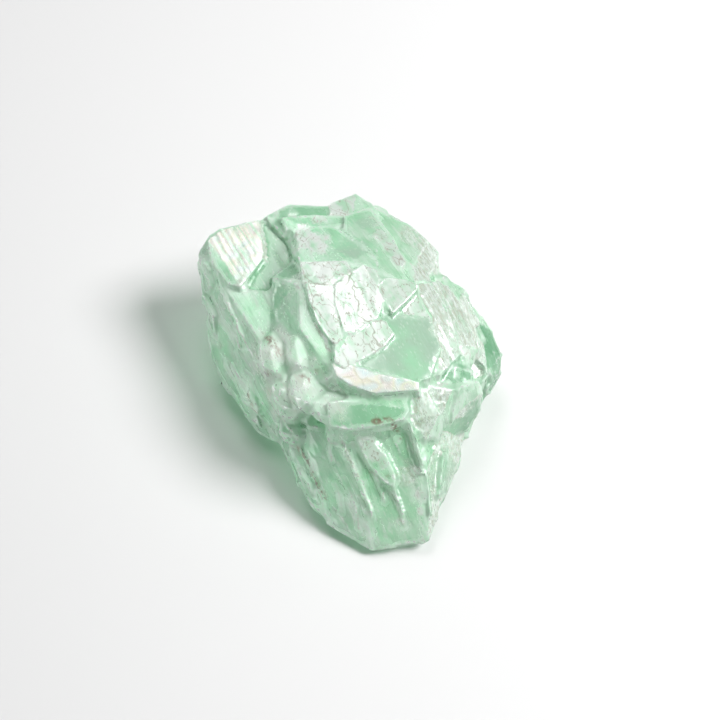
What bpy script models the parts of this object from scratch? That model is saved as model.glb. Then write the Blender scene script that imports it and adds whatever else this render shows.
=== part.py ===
"""A rough phosphophyllite crystal, about 20 mm long: one broken cleavage fragment on its flat underside.

The fragment grew as one piece. It is made of broad cleavage masses, each the convex hull of its own
corners, with the sheets, blades and rounded mounds that stand proud of them, all joined in one solid.
Crevices, a pit and a trough are then cut into it, and the underside is cut flat.
+X is to the right of the tapered tip, which points to -Y. +Y is the broad end and +Z is up. Corners are
millimetres, and the finished stone is centred over the origin.
"""

import math
import random

import bmesh
import bpy
from mathutils import Matrix, Vector

MM = 0.001
NAME = "phosphophyllite_crystal"

BELOW = -0.8  # the masses run this far under the resting face, which then cuts them flat
REACH = 40.0  # width of the block that cuts the resting face
SHEET_DEPTH = 1.5  # how far a sheet runs down into the mass below it
BLADE_DEPTH = 0.8  # how far a blade's foot lies below its crest line
SHEET_SPREAD = 0.09  # how far a sheet's top edge runs past its corners, so that neighbours meet
SHEET_FLARE = 0.25  # how far a sheet's foot spreads beyond its corners
GRAIN = Vector((0.47, -0.86, -0.20))  # the way the blades and flakes run: down towards the tip
SEED = 15
FLAKES = 44  # thin leaves on the sides and the back
FLAKE_SIDES = 6
FLAKE_FACE = 1.6  # smallest face, in square millimetres, that a leaf lies on
FLAKE_LENGTH = (0.6, 1.2)  # half its length, as a share of the widest circle on its face
FLAKE_WIDTH = (0.22, 0.48)
FLAKE_RISE = (0.06, 0.14)
FLAKE_DEPTH = 0.4  # how far its foot lies below its face
CHIPS = 36  # small facets knocked off the edges
CHIP_SIZE = (0.7, 1.6)
CHIP_DEPTH = (0.08, 0.20)
CHIP_EDGE = 0.7  # shortest edge that a chip is taken from
CHIP_FACE = 0.25  # smallest face, in square millimetres, beside such an edge
CHIP_ANGLE = math.radians(35)  # flattest edge that a chip is taken from
CHIP_SLOPE = 0.75  # upward part of the normal, past which a face is a top face and keeps its edges whole
COLOR = (0.62, 0.84, 0.70, 1.0)
ROUGHNESS = 0.25
TRANSMISSION = 0.6
IOR = 1.6

# Main masses: the corners of each, the first ones along its upper faces, the last ones at its foot and core
MASSES = {
    "core": [
        (-2.7, 3.0, 8.5), (-0.3, 4.1, 9.0), (1.5, 3.7, 9.0), (3.5, 2.6, 8.5), (4.3, 1.1, 8.1),
        (4.1, -2.5, 7.2), (2.4, -3.2, 7.5), (0.6, -2.8, 7.8), (-0.8, -2.4, 7.7), (-2.6, 0.5, 7.9),
        (-1.6, 6.8, 7.9), (1.5, 6.6, 8.2), (-4.3, 4.8, 6.8), (-4.6, 0.4, 6.0), (-3.5, -2.2, 5.2),
        (4.8, -3.2, 5.4), (5.8, 2.0, 6.2), (5.3, 5.0, 5.2), (5.8, 4.7, 2.4), (6.4, -2.0, 2.2),
        (0.5, -3.8, 6.3), (-3.0, -3.2, BELOW), (4.4, -3.4, BELOW), (5.6, -1.0, BELOW), (5.6, 4.2, BELOW),
        (2.5, 6.8, BELOW), (-3.8, 7.4, BELOW), (-4.5, 1.5, BELOW), (1.4, 7.8, BELOW), (6.4, -0.8, 5.1),
        (6.0, -2.4, 1.0), (5.4, -2.4, BELOW),
    ],
    "left_slab": [
        (-8.7, 7.6, 5.2), (-8.1, 8.5, 5.8), (-7.4, 8.8, 6.2), (-5.4, 9.1, 6.6), (-2.0, 8.0, 6.8),
        (-8.2, 6.4, 3.8), (-8.2, 4.7, 3.4), (-8.1, 3.4, 2.8), (-7.8, 2.3, 2.3), (-7.1, 1.1, 1.8),
        (-6.2, -0.1, 1.4), (-4.9, -1.5, 1.1), (-3.9, -2.5, 1.0), (-7.5, 5.2, 5.1), (-6.6, 2.3, 4.6),
        (-5.3, -0.2, 4.0), (-4.1, -2.2, 3.6), (-7.6, 8.1, 3.6), (-5.0, 8.6, 2.8), (-2.6, 8.6, 2.2),
        (-5.4, 6.6, BELOW), (-2.5, 7.2, BELOW), (-5.4, 3.0, BELOW), (-4.2, -0.2, BELOW),
        (-2.5, -2.4, BELOW), (-1.0, 6.0, 6.9), (-1.0, 0.0, 6.4),
    ],
    "right_mass": [
        (6.5, 5.3, 5.0), (7.3, 4.0, 4.4), (8.3, 3.3, 3.3), (8.7, 2.5, 2.8), (8.6, 1.4, 2.4),
        (7.5, -0.1, 1.8), (6.5, -2.2, 1.4), (4.4, 4.2, 6.9), (6.3, 3.7, 5.9), (4.8, -0.1, 7.2),
        (7.0, 1.0, 5.0), (7.4, -0.1, 4.2), (6.9, -1.3, 3.5), (6.2, -2.2, 2.9), (4.8, -2.1, 6.4),
        (4.3, -3.2, 6.1), (7.8, 3.3, 1.9), (7.9, 2.0, 1.5), (6.8, 0.0, 1.0), (5.9, 3.6, BELOW),
        (6.2, 1.0, BELOW), (5.2, -1.8, BELOW), (2.0, 4.0, 7.0), (2.0, -2.0, 6.6), (5.9, -0.6, 6.35),
    ],
    "front_wedge": [
        (-3.9, -2.5, 1.1), (-3.4, -3.5, 1.0), (-2.9, -5.1, 0.9), (-2.1, -6.6, 0.8), (-1.1, -7.5, 0.7),
        (0.6, -8.6, 0.6), (1.2, -9.0, 0.5), (2.7, -8.4, 0.6), (3.9, -8.6, 0.6), (4.3, -8.5, 0.8),
        (4.8, -7.0, 0.9), (5.2, -5.4, 1.0), (6.0, -4.0, 1.2), (6.5, -2.2, 1.4), (0.0, -4.5, 5.3),
        (3.2, -4.4, 5.6), (0.8, -6.5, 3.5), (1.9, -8.3, 1.3), (4.0, -6.4, 3.2), (4.2, -8.2, 1.2),
        (-2.7, -3.7, 3.2), (-1.3, -6.5, 1.9), (4.9, -4.1, 3.8), (5.4, -4.5, 2.4), (-2.7, -2.0, 4.6),
        (-2.2, -3.5, 4.5), (5.2, -2.5, 4.8), (2.0, 1.0, 6.0), (-2.5, -3.2, BELOW), (-0.6, -6.2, BELOW),
        (1.5, -7.5, BELOW), (3.6, -7.4, BELOW), (4.8, -4.0, BELOW),
    ],
    "back_peak": [
        (-1.7, 9.4, 7.1), (0.1, 10.7, 6.8), (1.2, 9.9, 7.0), (3.4, 8.9, 6.4), (4.9, 7.9, 5.4),
        (5.1, 6.0, 5.3), (0.1, 7.2, 7.9), (2.2, 6.2, 8.1), (-1.4, 9.3, 4.5), (0.3, 10.4, 4.4),
        (3.0, 8.9, 3.2), (4.8, 7.3, 3.0), (0.2, 9.4, 1.8), (2.8, 8.1, 1.0), (4.6, 6.6, 1.2),
        (0.2, 8.2, BELOW), (2.6, 7.0, BELOW), (0.0, 3.0, 7.4), (3.6, 3.6, 7.2),
    ],
    "back_left": [
        (-5.0, 9.1, 6.8), (-4.3, 9.3, 7.1), (-3.4, 9.6, 7.4), (-1.7, 9.5, 7.4), (-0.5, 9.4, 7.4),
        (-3.4, 7.4, 7.3), (-1.5, 7.3, 7.5), (-4.0, 9.0, 3.9), (-1.2, 9.3, 3.6), (-3.6, 8.5, 1.0),
        (-0.4, 8.8, 1.2), (-3.4, 8.0, BELOW), (0.2, 8.3, BELOW), (-1.0, 4.0, 7.2),
    ],
}

# Cleavage sheets: the corners of each one's upper face, which its sides run down from
SHEETS = {
    "terrace_back": [
        (-3.2, 7.0, 8.0), (-2.5, 7.2, 8.1), (-1.3, 7.3, 8.2), (-0.7, 7.0, 8.3), (-0.3, 6.1, 8.4),
        (0.7, 5.5, 8.6), (1.5, 4.3, 8.8), (-0.3, 4.1, 8.9), (-2.6, 4.6, 8.4), (-3.0, 5.9, 8.2),
    ],
    "rough_crest": [
        (-2.6, 4.4, 8.6), (-0.3, 4.1, 9.1), (0.0, 3.3, 9.2), (-0.2, 2.6, 9.1), (-1.6, 2.6, 8.9),
        (-2.4, 2.9, 8.7),
    ],
    "sheet_left": [
        (-2.3, 2.8, 8.8), (-0.9, 2.5, 9.0), (-0.7, 1.6, 9.0), (-0.3, -0.2, 8.6), (-0.6, -0.9, 8.4),
        (-1.1, -0.4, 8.4), (-1.6, 0.5, 8.5), (-2.1, 1.8, 8.7),
    ],
    "mint_plate": [
        (-3.0, 2.5, 7.8), (-2.2, 2.2, 8.3), (-1.7, 0.6, 8.2), (-1.2, -0.5, 8.1), (-1.0, -1.2, 7.9),
        (-1.7, -1.3, 7.5), (-2.5, -0.2, 7.5), (-3.0, 1.2, 7.6),
    ],
    "sheet_top": [
        (-0.7, 2.5, 9.1), (0.7, 3.8, 9.2), (1.5, 3.4, 9.1), (1.8, 1.7, 9.0), (1.5, 0.7, 8.85),
        (0.3, -0.3, 8.7), (-0.2, -0.3, 8.7), (-0.7, 1.5, 9.0),
    ],
    "triangle": [(1.7, 2.6, 9.1), (2.0, 3.0, 9.1), (3.5, 3.0, 8.8), (3.6, 2.5, 8.7), (2.3, 0.9, 8.8)],
    "sheet_low": [
        (-0.7, -1.0, 8.4), (0.1, -0.4, 8.6), (0.9, 0.4, 8.7), (1.8, 0.4, 8.7), (2.3, -0.3, 8.5),
        (1.8, -1.0, 8.4), (0.7, -1.7, 8.3), (-0.2, -2.2, 8.2), (-0.7, -1.8, 8.3),
    ],
    "window": [
        (1.7, 0.9, 8.6), (4.3, 1.0, 8.1), (4.8, -0.6, 7.7), (4.2, -2.3, 7.4), (2.4, -3.1, 7.6),
        (0.9, -2.7, 7.9), (0.6, -2.0, 8.0), (1.9, -1.0, 8.2),
    ],
    "ledge_bright": [
        (-0.8, -1.9, 8.1), (0.1, -2.2, 8.2), (1.9, -2.7, 8.0), (3.6, -2.8, 7.7), (3.6, -3.2, 7.5),
        (2.2, -3.2, 7.6), (1.2, -3.4, 7.7), (0.1, -3.1, 7.9), (-0.6, -2.6, 8.0),
    ],
    "ledge_low": [
        (-1.0, -3.6, 7.0), (0.4, -3.7, 7.1), (2.9, -3.3, 7.0), (3.1, -4.0, 6.8), (2.8, -4.4, 6.6),
        (1.6, -4.7, 6.5), (0.0, -4.8, 6.3), (-1.0, -4.6, 6.2),
    ],
    "left_plate": [
        (-3.3, 4.5, 7.4), (-2.8, 4.8, 7.8), (-2.5, 3.2, 8.2), (-2.1, 2.3, 8.2), (-3.4, 2.8, 7.2),
        (-3.5, 3.8, 7.1),
    ],
    "upper_sliver": [
        (-3.8, 8.5, 7.5), (-2.0, 8.5, 7.7), (-0.4, 8.4, 7.75), (-0.4, 7.6, 7.9), (-1.8, 7.5, 7.8),
        (-3.4, 7.5, 7.5),
    ],
    "peak_plate": [
        (-1.1, 9.6, 7.4), (0.3, 10.4, 7.3), (1.2, 9.7, 7.3), (1.6, 8.8, 7.5), (0.2, 8.2, 7.8),
        (-1.0, 8.4, 7.7),
    ],
    "back_right_inner": [
        (-0.3, 8.2, 8.0), (1.2, 9.1, 7.6), (2.3, 6.8, 7.9), (3.0, 4.9, 8.1), (2.5, 3.8, 8.5),
        (1.6, 4.4, 8.6), (0.7, 5.8, 8.5), (-0.3, 6.5, 8.3),
    ],
    "back_right_middle": [
        (1.3, 9.6, 7.1), (3.4, 8.6, 6.7), (4.4, 7.8, 6.3), (3.5, 5.2, 7.5), (3.0, 5.4, 7.7),
        (2.3, 7.0, 7.5),
    ],
    "back_right_outer": [
        (4.4, 7.9, 6.1), (5.0, 7.4, 5.8), (5.0, 5.7, 6.0), (4.4, 4.4, 7.1), (3.6, 3.8, 7.8),
        (3.4, 5.3, 7.4),
    ],
    "frost_inner": [
        (3.7, 3.2, 8.2), (4.4, 3.5, 7.9), (5.1, 2.2, 7.6), (5.5, 1.3, 7.3), (5.9, -0.3, 6.8),
        (4.8, -1.9, 7.1), (4.4, 0.4, 7.8), (3.8, 2.2, 8.2),
    ],
    "frost_middle": [
        (4.5, 3.9, 7.5), (5.3, 4.5, 6.8), (6.1, 3.0, 6.5), (6.6, 1.9, 6.1), (7.2, 1.0, 5.5),
        (6.4, -0.5, 5.9), (6.0, 0.3, 6.6), (5.3, 2.3, 7.2),
    ],
    "frost_outer": [
        (5.4, 5.1, 6.2), (6.5, 4.9, 5.5), (7.1, 3.6, 5.1), (7.4, 1.5, 4.9), (7.6, -0.1, 4.5),
        (7.2, -0.6, 4.7), (6.6, 2.1, 5.8), (6.1, 3.4, 6.2),
    ],
    "green_patch": [
        (4.9, -1.5, 6.7), (5.7, -1.1, 6.6), (6.7, -0.7, 5.7), (6.6, -1.5, 5.4), (5.5, -2.3, 6.0),
        (4.8, -2.2, 6.4),
    ],
    "frost_low": [
        (4.3, -2.6, 6.9), (5.5, -2.4, 6.2), (7.1, -1.0, 5.1), (7.2, -1.4, 4.5), (6.4, -2.4, 3.8),
        (4.8, -3.7, 5.2), (4.0, -3.4, 6.3),
    ],
    "frost_front": [
        (3.2, -3.1, 7.1), (4.1, -2.9, 6.8), (4.8, -3.7, 5.8), (4.7, -4.2, 5.0), (4.0, -4.6, 5.0),
        (3.4, -4.1, 6.0),
    ],
    "mint_slab": [
        (-6.8, 4.5, 5.9), (-5.8, 4.4, 6.2), (-3.6, 3.7, 6.8), (-3.8, 1.3, 6.6), (-3.6, -1.3, 6.2),
        (-3.5, -3.0, 4.9), (-4.8, -1.0, 4.6), (-6.1, 1.5, 4.9),
    ],
    "striated_face": [
        (-8.0, 7.8, 6.3), (-7.3, 8.4, 6.5), (-5.2, 8.8, 6.9), (-5.0, 7.4, 6.9), (-4.9, 6.2, 6.8),
        (-6.1, 4.5, 6.5), (-6.8, 4.9, 6.2), (-7.7, 6.4, 6.1),
    ],
    "left_rim": [
        (-8.7, 7.5, 5.3), (-8.0, 8.5, 5.9), (-7.3, 8.7, 6.3), (-7.7, 6.4, 6.1), (-6.8, 4.1, 5.7),
        (-6.1, 1.7, 5.0), (-7.2, 3.5, 4.5), (-8.1, 6.0, 4.6),
    ],
    "front_leaf": [
        (0.75, -5.0, 5.3), (1.2, -5.0, 5.35), (1.9, -5.6, 4.85), (2.4, -6.3, 4.15), (2.35, -6.75, 3.75),
        (1.8, -6.5, 3.95), (1.1, -5.9, 4.45), (0.75, -5.4, 4.95),
    ],
}

# Blades: the two ends of each, how wide it is and how far it stands proud
BLADES = [
    ((-8.4, 7.4, 5.5), (-6.4, 2.4, 5.1), 0.7, 0.45),
    ((-7.3, 4.6, 5.5), (-5.0, -0.6, 4.6), 0.7, 0.5),
    ((-5.6, 0.6, 4.6), (-3.3, -3.4, 4.0), 0.7, 0.5),
    ((-8.3, 6.9, 4.8), (-5.2, -1.0, 3.9), 0.9, 0.5),
    ((-8.3, 5.4, 4.2), (-4.9, -2.0, 3.1), 0.9, 0.55),
    ((-8.0, 3.8, 3.2), (-4.9, -1.9, 2.0), 0.8, 0.4),
    ((-7.7, 2.2, 2.4), (-4.1, -2.6, 1.5), 0.7, 0.4),
    ((-6.4, 4.2, 6.0), (-4.5, -0.4, 5.5), 0.8, 0.16),
    ((-5.6, 4.2, 6.3), (-4.1, -0.8, 5.9), 0.7, 0.18),
    ((-5.0, 4.2, 6.5), (-3.8, 1.4, 6.5), 0.6, 0.14),
    ((-3.3, -3.2, 3.4), (-1.2, -7.3, 1.4), 0.8, 0.28),
    ((-2.8, -3.0, 4.1), (-0.3, -7.4, 1.9), 0.9, 0.30),
    ((-1.9, -3.4, 4.9), (0.6, -8.2, 1.5), 1.0, 0.28),
    ((-0.9, -4.3, 5.4), (1.4, -8.4, 1.5), 0.9, 0.30),
    ((0.0, -4.5, 5.7), (2.0, -7.6, 2.2), 0.8, 0.26),
    ((1.5, -5.6, 4.8), (3.0, -8.2, 1.5), 0.9, 0.14),
    ((2.9, -4.2, 6.4), (3.9, -6.4, 3.9), 0.9, 0.18),
    ((3.8, -4.8, 4.6), (4.2, -8.2, 1.4), 0.9, 0.2),
    ((4.9, -4.3, 3.7), (4.6, -6.9, 1.8), 0.8, 0.18),
]

# Rounded mounds of milky crystal: centre and half-lengths along X, Y and Z
MOUNDS = [
    ((-3.6, 0.4, 5.5), (1.5, 2.0, 1.35)),
    ((-3.0, -1.7, 4.9), (1.4, 1.7, 1.3)),
    ((-2.3, 0.6, 6.4), (1.4, 2.4, 1.3)),
    ((-1.7, -1.8, 5.9), (1.7, 1.9, 1.1)),
    ((-0.6, -3.2, 5.9), (1.6, 1.2, 0.9)),
    ((-3.0, -3.0, 3.5), (0.9, 1.0, 1.0)),
]

# Wedges cut out of the stone: the trough at the back left, two crevices under the front ledges, and the pit
WEDGES = {
    "trough": [
        (-5.6, 8.0, 9.2), (-2.6, 8.2, 9.4), (-2.2, 5.0, 9.4), (-4.6, 3.6, 9.0), (-6.2, 4.6, 8.6),
        (-4.1, 7.6, 6.7), (-3.5, 7.4, 6.9), (-3.6, 5.4, 6.75), (-4.6, 5.0, 6.35),
    ],
    "upper_crevice": [
        (0.2, -4.4, 7.1), (0.2, -4.4, 7.5), (3.4, -4.0, 7.0), (3.4, -4.0, 7.4), (0.8, -3.0, 7.3),
        (2.8, -2.7, 7.2),
    ],
    "lower_crevice": [
        (1.2, -5.3, 6.0), (1.2, -5.3, 6.4), (3.4, -5.0, 6.1), (3.4, -5.0, 6.5), (1.8, -4.2, 6.2),
        (3.0, -3.9, 6.3),
    ],
    "pit": [(2.1, -4.6, 6.8), (2.8, -4.5, 6.8), (2.1, -5.4, 6.6), (3.0, -5.2, 6.6), (2.6, -4.8, 5.1)],
}


def new_collection(name):
    collection = bpy.data.collections.new(name)
    bpy.context.scene.collection.children.link(collection)
    return collection


def new_object(name, bm, collection):
    """Puts a finished bmesh in the scene as an object."""
    mesh = bpy.data.meshes.new(name)
    bm.to_mesh(mesh)
    bm.free()
    obj = bpy.data.objects.new(name, mesh)
    collection.objects.link(obj)
    return obj


def hull(name, corners, collection):
    """A mass with flat faces: the convex hull of its corners."""
    bm = bmesh.new()
    verts = [bm.verts.new(Vector(corner) * MM) for corner in corners]
    made = bmesh.ops.convex_hull(bm, input=verts)
    spare = {item for item in made["geom_interior"] + made["geom_unused"]}
    bmesh.ops.delete(bm, geom=[vert for vert in verts if vert in spare], context="VERTS")
    return new_object(name, bm, collection)


def sheet_corners(top):
    """The corners of a cleavage sheet: its upper face, and a foot that is a little wider."""
    points = [Vector(corner) for corner in top]
    centre = sum(points, Vector()) / len(points)
    outward = [(p - centre).normalized() for p in points]
    rim = [p + out * SHEET_SPREAD for p, out in zip(points, outward)]
    foot = [p + out * SHEET_FLARE - Vector((0, 0, SHEET_DEPTH)) for p, out in zip(points, outward)]
    return rim + foot


def blade_corners(start, end, width, rise):
    """The corners of a long sliver, whose crest leans to one side and which dies away at both ends."""
    start, end = Vector(start), Vector(end)
    along = end - start
    side = along.cross(Vector((0, 0, 1))).normalized() * width
    up = side.cross(along).normalized()
    lifts = ((0.12, 0.7), (0.45, 1.0), (0.8, 0.8))
    crest = [start + along * t - side * 0.25 + up * rise * lift for t, lift in lifts]
    foot = [start + along * t + side * s - up * BLADE_DEPTH for t in (0.2, 0.8) for s in (-0.5, 0.5)]
    return crest + foot + [start - up * rise, end - up * rise]


def joined_surface(obj):
    """The stone's faces as it stands so far, for the flakes and chips to be placed on."""
    bm = bmesh.new()
    bm.from_object(obj, bpy.context.evaluated_depsgraph_get())
    bmesh.ops.triangulate(bm, faces=bm.faces)
    bmesh.ops.scale(bm, vec=(1 / MM, 1 / MM, 1 / MM), verts=bm.verts)
    bm.normal_update()
    return bm


def flake_corners(rng, point, normal, room):
    """The corners of a thin leaf that lies along the grain and is thicker towards one side."""
    along = (GRAIN - GRAIN.project(normal)).normalized()
    side = normal.cross(along)
    length, width, rise = (rng.uniform(*span) for span in (FLAKE_LENGTH, FLAKE_WIDTH, FLAKE_RISE))
    length, width = length * room, width * room
    thick_side = rng.uniform(0, math.tau)
    corners = []
    for step in range(FLAKE_SIDES):
        angle = (step + rng.uniform(-0.3, 0.3)) * math.tau / FLAKE_SIDES
        rim = along * math.cos(angle) * length + side * math.sin(angle) * width
        lift = rise * (1 + math.cos(angle - thick_side))
        corners += [point + rim * 0.85 + normal * lift, point + rim - normal * FLAKE_DEPTH]
    return corners


def add_flakes(bm, rng, collection):
    """Leaves on the steep faces, which the broad sheets leave plain."""
    steep = [
        face for face in bm.faces
        if face.normal.z < 0.55 and face.calc_area() > FLAKE_FACE and face.calc_center_median().z > 0.6
    ]
    for face in rng.choices(steep, weights=[face.calc_area() for face in steep], k=FLAKES):
        a, b, c = (vert.co for vert in face.verts)
        u, v = sorted((rng.random(), rng.random()))
        point = (a * u + b * (v - u) + c * (1 - v)).lerp(face.calc_center_median(), 0.5)
        room = 4 * face.calc_area() / face.calc_perimeter()
        hull("flake", flake_corners(rng, point, face.normal, room), collection)


def add_chips(bm, rng, collection):
    """Blocks whose lowest face shaves a small facet off a sharp edge."""
    sharp = [
        edge for edge in bm.edges
        if edge.calc_length() > CHIP_EDGE and edge.calc_face_angle_signed() > CHIP_ANGLE
        and min(face.calc_area() for face in edge.link_faces) > CHIP_FACE
        and max(face.normal.z for face in edge.link_faces) < CHIP_SLOPE
        and min(vert.co.z for vert in edge.verts) > 0.4
    ]
    for edge in rng.sample(sharp, min(CHIPS, len(sharp))):
        point = edge.verts[0].co.lerp(edge.verts[1].co, rng.uniform(0.2, 0.8))
        normal = (edge.link_faces[0].normal + edge.link_faces[1].normal).normalized()
        size, depth = rng.uniform(*CHIP_SIZE), rng.uniform(*CHIP_DEPTH)
        place = Matrix.Translation((point + normal * (size / 2 - depth)) * MM)
        spin = Matrix.Rotation(rng.uniform(0, math.tau), 4, "Z")
        turn = normal.to_track_quat("Z", "Y").to_matrix().to_4x4() @ spin
        chip = bmesh.new()
        bmesh.ops.create_cube(chip, size=size * MM, matrix=place @ turn)
        new_object("chip", chip, collection)


def ellipsoid(name, centre, radii, collection):
    bm = bmesh.new()
    bmesh.ops.create_icosphere(bm, subdivisions=2, radius=MM)
    place = Matrix.LocRotScale(Vector(centre) * MM, None, Vector(radii))
    bmesh.ops.transform(bm, matrix=place, verts=bm.verts)
    return new_object(name, bm, collection)


def resting_plane(collection):
    """The block that gives the stone its flat underside at Z = 0."""
    bm = bmesh.new()
    bmesh.ops.create_cube(bm, size=REACH * MM, matrix=Matrix.Translation((0, 0, -REACH * MM / 2)))
    return new_object("resting_plane", bm, collection)


def boolean(obj, collection, operation):
    """Joins or cuts obj with everything in the collection."""
    modifier = obj.modifiers.new(operation.lower(), "BOOLEAN")
    modifier.operation = operation
    modifier.operand_type = "COLLECTION"
    modifier.collection = collection
    modifier.solver = "EXACT"


def keep_outer_skin(obj):
    """Applies the modifiers and keeps only the largest skin, which fills any hollow that is shut in."""
    shown = obj.evaluated_get(bpy.context.evaluated_depsgraph_get())
    mesh = bpy.data.meshes.new_from_object(shown)
    obj.modifiers.clear()
    bm = bmesh.new()
    bm.from_mesh(mesh)
    skins = []
    unseen = set(bm.faces)
    while unseen:
        skin = [unseen.pop()]
        for face in skin:
            for edge in face.edges:
                for neighbour in unseen.intersection(edge.link_faces):
                    unseen.remove(neighbour)
                    skin.append(neighbour)
        skins.append(skin)
    skins.sort(key=len)
    for skin in skins[:-1]:
        bmesh.ops.delete(bm, geom=skin, context="FACES")
    bm.to_mesh(mesh)
    bm.free()
    obj.data = mesh


def centre_over_origin(obj):
    """Slides the stone along the floor until its box is centred on the origin."""
    points = [vert.co for vert in obj.data.vertices]
    low = Vector((min(p.x for p in points), min(p.y for p in points), 0))
    high = Vector((max(p.x for p in points), max(p.y for p in points), 0))
    obj.data.transform(Matrix.Translation(-(low + high) / 2))


def crystal_material():
    material = bpy.data.materials.new("mint_crystal")
    material.use_nodes = True
    shader = material.node_tree.nodes["Principled BSDF"]
    shader.inputs["Base Color"].default_value = COLOR
    shader.inputs["Roughness"].default_value = ROUGHNESS
    shader.inputs["Metallic"].default_value = 0.0
    shader.inputs["Transmission Weight"].default_value = TRANSMISSION
    shader.inputs["IOR"].default_value = IOR
    return material


def main():
    for obj in list(bpy.data.objects):
        bpy.data.objects.remove(obj)
    stone = new_collection("phosphophyllite")
    joined = new_collection("joined")
    cutters = new_collection("cutters")
    crystal = hull(NAME, MASSES["core"], stone)
    for name, corners in MASSES.items():
        if name != "core":
            hull(name, corners, joined)
    for name, top in SHEETS.items():
        hull(name, sheet_corners(top), joined)
    for blade in BLADES:
        hull("blade", blade_corners(*blade), joined)
    for centre, radii in MOUNDS:
        ellipsoid("mound", centre, radii, joined)
    for name, corners in WEDGES.items():
        hull(name, corners, cutters)
    resting_plane(cutters)
    boolean(crystal, joined, "UNION")
    rng = random.Random(SEED)
    surface = joined_surface(crystal)
    add_flakes(surface, rng, joined)
    add_chips(surface, rng, cutters)
    surface.free()
    boolean(crystal, cutters, "DIFFERENCE")
    keep_outer_skin(crystal)
    centre_over_origin(crystal)
    for helper in [*joined.objects, *cutters.objects]:
        helper.hide_render = True
        helper.display_type = "WIRE"
    crystal.data.materials.append(crystal_material())


main()
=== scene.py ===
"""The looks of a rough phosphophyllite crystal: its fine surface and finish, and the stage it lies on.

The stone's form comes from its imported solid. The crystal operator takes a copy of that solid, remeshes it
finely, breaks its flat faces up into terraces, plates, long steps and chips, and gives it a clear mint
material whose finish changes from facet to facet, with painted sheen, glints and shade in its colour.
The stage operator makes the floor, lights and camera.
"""

import math
import random

import bmesh
import bpy
import numpy as np
from mathutils import Matrix, Vector, noise
from mathutils.bvhtree import BVHTree
from mathutils.kdtree import KDTree


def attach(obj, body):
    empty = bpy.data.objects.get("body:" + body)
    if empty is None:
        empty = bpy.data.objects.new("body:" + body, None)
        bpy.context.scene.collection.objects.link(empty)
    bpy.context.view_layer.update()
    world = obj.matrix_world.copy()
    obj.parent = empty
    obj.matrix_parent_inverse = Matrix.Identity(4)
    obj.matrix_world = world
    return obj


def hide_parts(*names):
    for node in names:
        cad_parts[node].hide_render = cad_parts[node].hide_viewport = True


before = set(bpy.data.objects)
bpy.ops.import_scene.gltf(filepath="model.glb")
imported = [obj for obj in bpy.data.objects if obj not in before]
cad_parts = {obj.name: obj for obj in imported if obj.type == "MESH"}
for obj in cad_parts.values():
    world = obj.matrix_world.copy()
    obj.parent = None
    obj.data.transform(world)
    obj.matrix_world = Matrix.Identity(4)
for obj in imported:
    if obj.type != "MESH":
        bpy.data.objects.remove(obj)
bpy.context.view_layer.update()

bl_info = {
    "name": "Rough Mint Crystal",
    "version": (1, 0, 0),
    "blender": (4, 5, 0),
    "location": "View3D > Sidebar > Crystal",
    "description": "Dresses a rough cleavage fragment of clear mint crystal and sets its stage",
    "category": "Object",
}

NODE = "phosphophyllite_crystal"
MM = 0.001
GRAIN = Vector((0.47, -0.86, -0.20)).normalized()  # the way the blades and striations run
TOWARDS_VIEWER = Vector((0.0, -0.574, 0.819))
SKY_HEIGHT = 20.0  # where the rays that pick a facet from above start
SAME_FACET = math.radians(9)  # faces that meet flatter than this are one facet
SHARP_EDGE = math.radians(20)

# Finishes of whole facets, each picked by a point above it in plan, in millimetres
# Painted light among the finishes: satin is partly painted sheen, and the darkest finish is partly painted
# shade.
FACET_FINISHES = {
    "satin": [
        (-1.3, 2.7), (-1.1, 0.2), (0.6, 0.9), (2.8, 1.4), (1.0, -1.7), (-1.4, -0.8), (0.2, 8.6), (2.1, 0.3),
        (3.6, 0.6),
    ],
    "pearl": [(1.7, -3.9), (-0.2, -3.4)],
    "ribbed": [(-6.2, 6.1), (-5.1, 7.1)],
    "frost": [
        (5.0, 0.1), (6.0, 1.3), (6.9, 2.1), (4.9, -3.7), (6.0, -3.8), (6.5, -3.2), (4.3, 4.8), (5.2, -4.4),
        (5.0, -5.0), (7.2, -0.9), (4.1, -4.6),
    ],
    "window": [(3.4, -1.8), (6.3, -2.1)],
    "deep": [(-4.1, 6.5), (-3.6, 5.4), (8.0, 1.3), (-1.9, 8.2), (-3.9, 8.1), (0.1, -5.1), (2.0, -5.1)],
}
FINISH_NAMES = ("satin", "pearl", "ribbed", "frost", "window", "deep")
OTHER_MASKS = ("milky", "stain", "ridge", "crease", "filled")  # ridge, crease and filled are distances

# Facets that face the viewer less than this get a finish by chance, each this often
HIDDEN_SLOPE = 0.12
HIDDEN_FINISHES = (("satin", 1), ("frost", 2), ("window", 2), ("deep", 3), (None, 6))
HIDDEN_SEED = 4
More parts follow.
